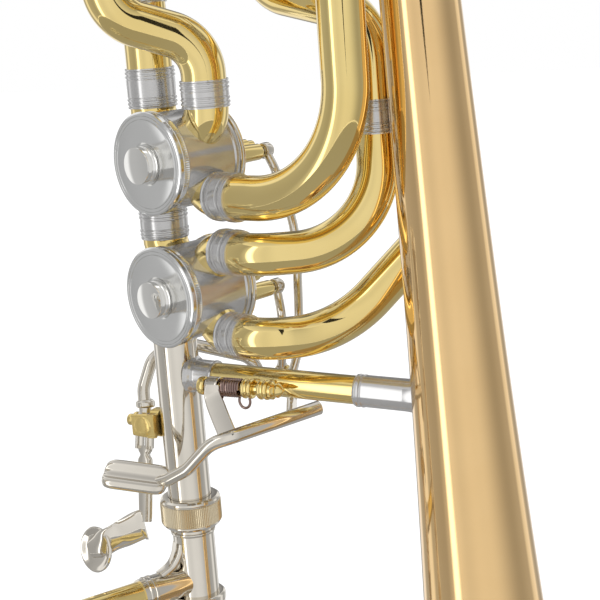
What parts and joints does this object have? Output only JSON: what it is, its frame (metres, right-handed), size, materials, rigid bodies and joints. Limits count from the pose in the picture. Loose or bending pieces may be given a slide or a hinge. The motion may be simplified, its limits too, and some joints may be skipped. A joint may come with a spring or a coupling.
{
  "type": "trombone",
  "caption": "Bass trombone with in-line rotary valves, loops, thumb and finger levers, tuning slides, a hand slide and a flared bell.",
  "frame": {"origin": "centre of the bell's mouth plane", "axes": "+Z along the main line and hand slide, from the slide bow up to the tuning slides; +X from the main line towards the bell; -Y the side that the valve caps face; the bell's axis leans 3.17 degrees from Z in the XZ plane"},
  "size_m": [0.3204, 0.2476, 1.2592],
  "materials": {
    "yellow_brass": "polished and lacquered",
    "gold_brass": "polished gold brass, lacquered",
    "nickel_silver": "polished nickel silver",
    "silver_plate": "silver plated",
    "black_rubber": "matt",
    "cork": "cut cork",
    "spring_steel": "blued spring steel",
    "rotor_bronze": "turned"
  },
  "bodies": {
    "bell_section": {"bell": "gold_brass", "bell_rim_wire": "gold_brass", "neckpipe": "nickel_silver", "link_tube": "yellow_brass", "gooseneck": "yellow_brass", "main_ferrules": "nickel_silver", "tuning_sleeves": "nickel_silver", "valve_1_casing": "nickel_silver", "valve_2_casing": "nickel_silver", "valve_1_knuckles": "yellow_brass", "valve_2_knuckles": "yellow_brass", "valve_rear_caps": "nickel_silver", "valve_bearings": "rotor_bronze", "valve_1_cap": "nickel_silver", "valve_2_cap": "nickel_silver", "oil_screws": "nickel_silver", "stop_rubbers": "black_rubber", "f_loop_lower_tube": "yellow_brass", "f_loop_upper_tube": "yellow_brass", "g_loop_upper_tube": "yellow_brass", "g_loop_lower_tube": "yellow_brass", "loop_ferrules": "nickel_silver", "bell_brace": "yellow_brass", "bell_brace_sleeves": "nickel_silver", "tube_braces": "yellow_brass", "hinge_pins": "yellow_brass", "lever_mounts": "yellow_brass", "lever_springs": "spring_steel", "slide_necks": "nickel_silver", "cork_barrels": "nickel_silver", "inner_slide_tubes": "nickel_silver", "inner_brace": "yellow_brass", "mouthpiece_receiver": "nickel_silver"},
    "rotor_1": {"valve_1_rotor": "rotor_bronze", "valve_1_stop_arm": "yellow_brass"},
    "rotor_2": {"valve_2_rotor": "rotor_bronze", "valve_2_stop_arm": "yellow_brass"},
    "lever_1_body": {"lever_1": "nickel_silver", "lever_1_touch": "nickel_silver"},
    "lever_2_body": {"lever_2": "nickel_silver", "lever_2_paddle": "nickel_silver"},
    "link_1_body": {"link_1": "nickel_silver"},
    "link_2_body": {"link_2": "nickel_silver"},
    "main_tuning_slide": {"main_slide_legs": "nickel_silver", "main_slide_crook": "yellow_brass"},
    "f_tuning_slide": {"f_slide_crook": "yellow_brass", "f_slide_legs": "nickel_silver"},
    "g_tuning_slide": {"g_slide_crook": "yellow_brass", "g_slide_legs": "nickel_silver"},
    "slide_nut_body": {"slide_nut": "nickel_silver"},
    "slide_lock_body": {"slide_lock": "nickel_silver"},
    "mouthpiece_body": {"mouthpiece": "silver_plate"},
    "outer_slide": {"outer_slide_tubes": "yellow_brass", "outer_slide_sleeves": "nickel_silver", "outer_brace": "yellow_brass", "slide_bow": "yellow_brass", "slide_bumper": "black_rubber", "water_key_saddle": "nickel_silver"},
    "water_key_body": {"water_key": "nickel_silver", "water_key_cork": "cork"}
  },
  "joints": [
    {"name": "lever_1_press", "type": "hinge", "parent": "bell_section", "child": "lever_1_body", "pos_m": [-0.113, -0.0105, 0.385], "axis": [1, 0, 0], "range_deg": [0, 18], "stiffness_Nm_per_rad": 0.25, "springref_deg": -14.32},
    {"name": "valve_1_turn", "type": "hinge", "parent": "bell_section", "child": "rotor_1", "pos_m": [-0.12029, -0.00439, 0.4671], "axis": [-0.3049, -0.9524, 0], "range_deg": [0, 90]},
    {"name": "link_1_swing", "type": "hinge", "parent": "lever_1_body", "child": "link_1_body", "pos_m": [-0.098, 0.021, 0.3792], "axis": [0.9728, 0.227, 0.0457], "range_deg": [-20.5, 0]},
    {"name": "lever_2_press", "type": "hinge", "parent": "bell_section", "child": "lever_2_body", "pos_m": [-0.147, 0, 0.366], "axis": [1, 0, 0], "range_deg": [0, 22], "stiffness_Nm_per_rad": 0.25, "springref_deg": -14.32},
    {"name": "valve_2_turn", "type": "hinge", "parent": "bell_section", "child": "rotor_2", "pos_m": [-0.12029, -0.00439, 0.4195], "axis": [-0.3049, -0.9524, 0], "range_deg": [0, 90]},
    {"name": "link_2_swing", "type": "hinge", "parent": "lever_2_body", "child": "link_2_body", "pos_m": [-0.108, 0.033, 0.3796], "axis": [0.9837, 0.1387, -0.1146], "range_deg": [-38, 0]},
    {"name": "main_tuning", "type": "slide", "parent": "bell_section", "child": "main_tuning_slide", "axis": [-0.0553, 0, 0.9985], "range_m": [0, 0.04]},
    {"name": "f_tuning", "type": "slide", "parent": "bell_section", "child": "f_tuning_slide", "axis": [0, 0, 1], "range_m": [0, 0.08]},
    {"name": "g_tuning", "type": "slide", "parent": "bell_section", "child": "g_tuning_slide", "axis": [0, 0, 1], "range_m": [0, 0.06]},
    {"name": "slide_nut_turn", "type": "hinge", "parent": "bell_section", "child": "slide_nut_body", "pos_m": [-0.134, 0, 0.332], "axis": [0, 0, 1], "range_deg": [0, 720]},
    {"name": "hand_slide", "type": "slide", "parent": "bell_section", "child": "outer_slide", "axis": [0, 0, -1], "range_m": [0, 0.6]},
    {"name": "slide_lock_turn", "type": "hinge", "parent": "bell_section", "child": "slide_lock_body", "pos_m": [-0.17722, -0.08008, 0.258], "axis": [0, 0, 1], "range_deg": [0, 60]},
    {"name": "mouthpiece_pull", "type": "slide", "parent": "bell_section", "child": "mouthpiece_body", "axis": [0, 0, 1], "range_m": [0, 0.03]},
    {"name": "water_key_open", "type": "hinge", "parent": "outer_slide", "child": "water_key_body", "pos_m": [-0.18292, -0.09064, -0.435], "axis": [-0.88, 0.475, 0], "range_deg": [0, 8], "stiffness_Nm_per_rad": 0.02, "springref_deg": -11.46}
  ],
  "couplings": [
    {"joint": "valve_1_turn", "follows": "lever_1_press", "ratio": 5},
    {"joint": "link_1_swing", "follows": "lever_1_press", "ratio": -1.0855},
    {"joint": "valve_2_turn", "follows": "lever_2_press", "ratio": 4.0909},
    {"joint": "link_2_swing", "follows": "lever_2_press", "ratio": -1.6271}
  ]
}
